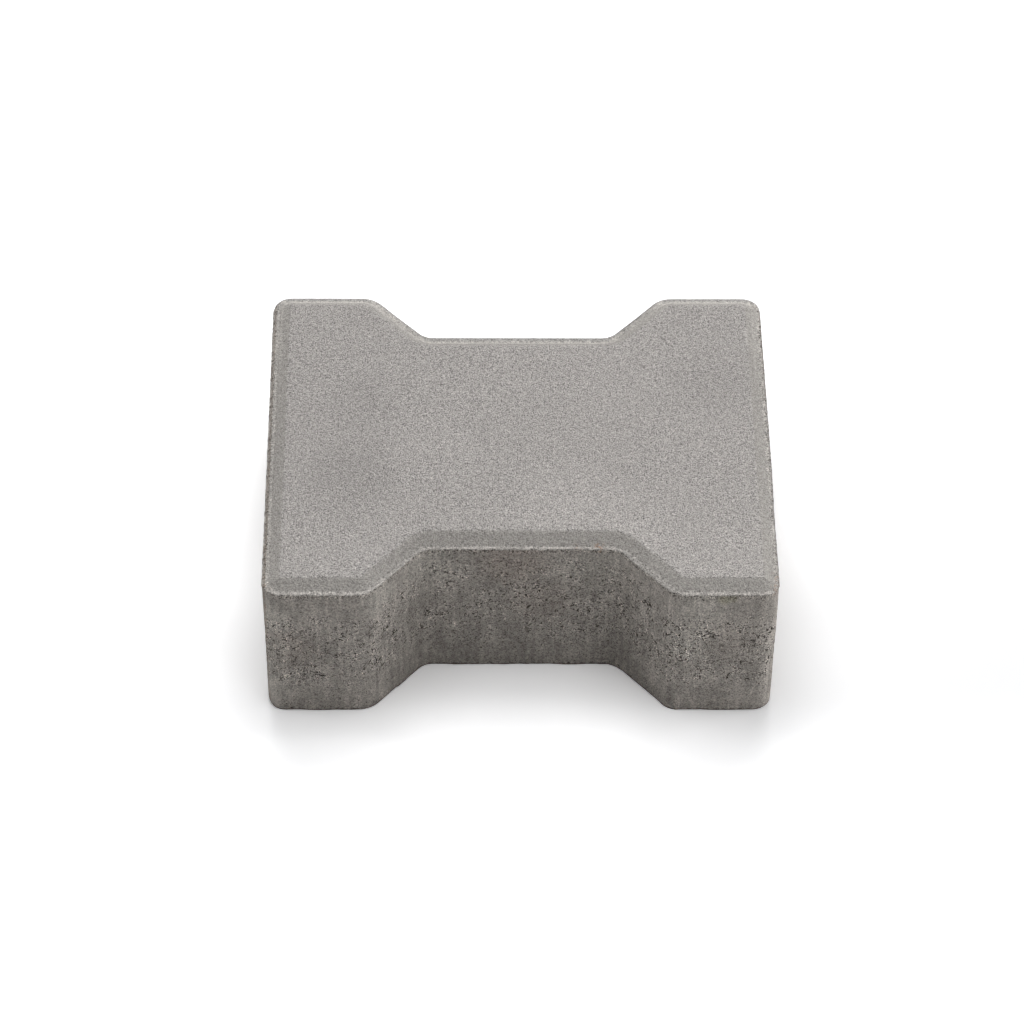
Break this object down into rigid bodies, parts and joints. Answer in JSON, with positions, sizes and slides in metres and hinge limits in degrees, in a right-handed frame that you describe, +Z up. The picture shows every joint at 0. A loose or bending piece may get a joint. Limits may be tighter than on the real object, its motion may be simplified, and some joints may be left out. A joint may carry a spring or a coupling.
{
  "type": "double-T interlocking concrete paving stone",
  "caption": "Grey concrete paver with a double-T plan: wide heads joined by a narrower web, with a flat top, a chamfer and a narrow ledge round the rim, and straight joint faces.",
  "frame": {"origin": "centre of the bed face, the flat underside that the stone lies on", "axes": "+X from one head to the other along the stone's length, +Y across the heads, +Z up out of the wearing face"},
  "size_m": [0.197, 0.162, 0.07],
  "materials": {
    "concrete": "pressed grey concrete, fine even grain on the top face, smoother chamfer, rough pale rim, drawn and pitted sides"
  },
  "bodies": {
    "root": {"paving_stone": "concrete"}
  },
  "joints": []
}
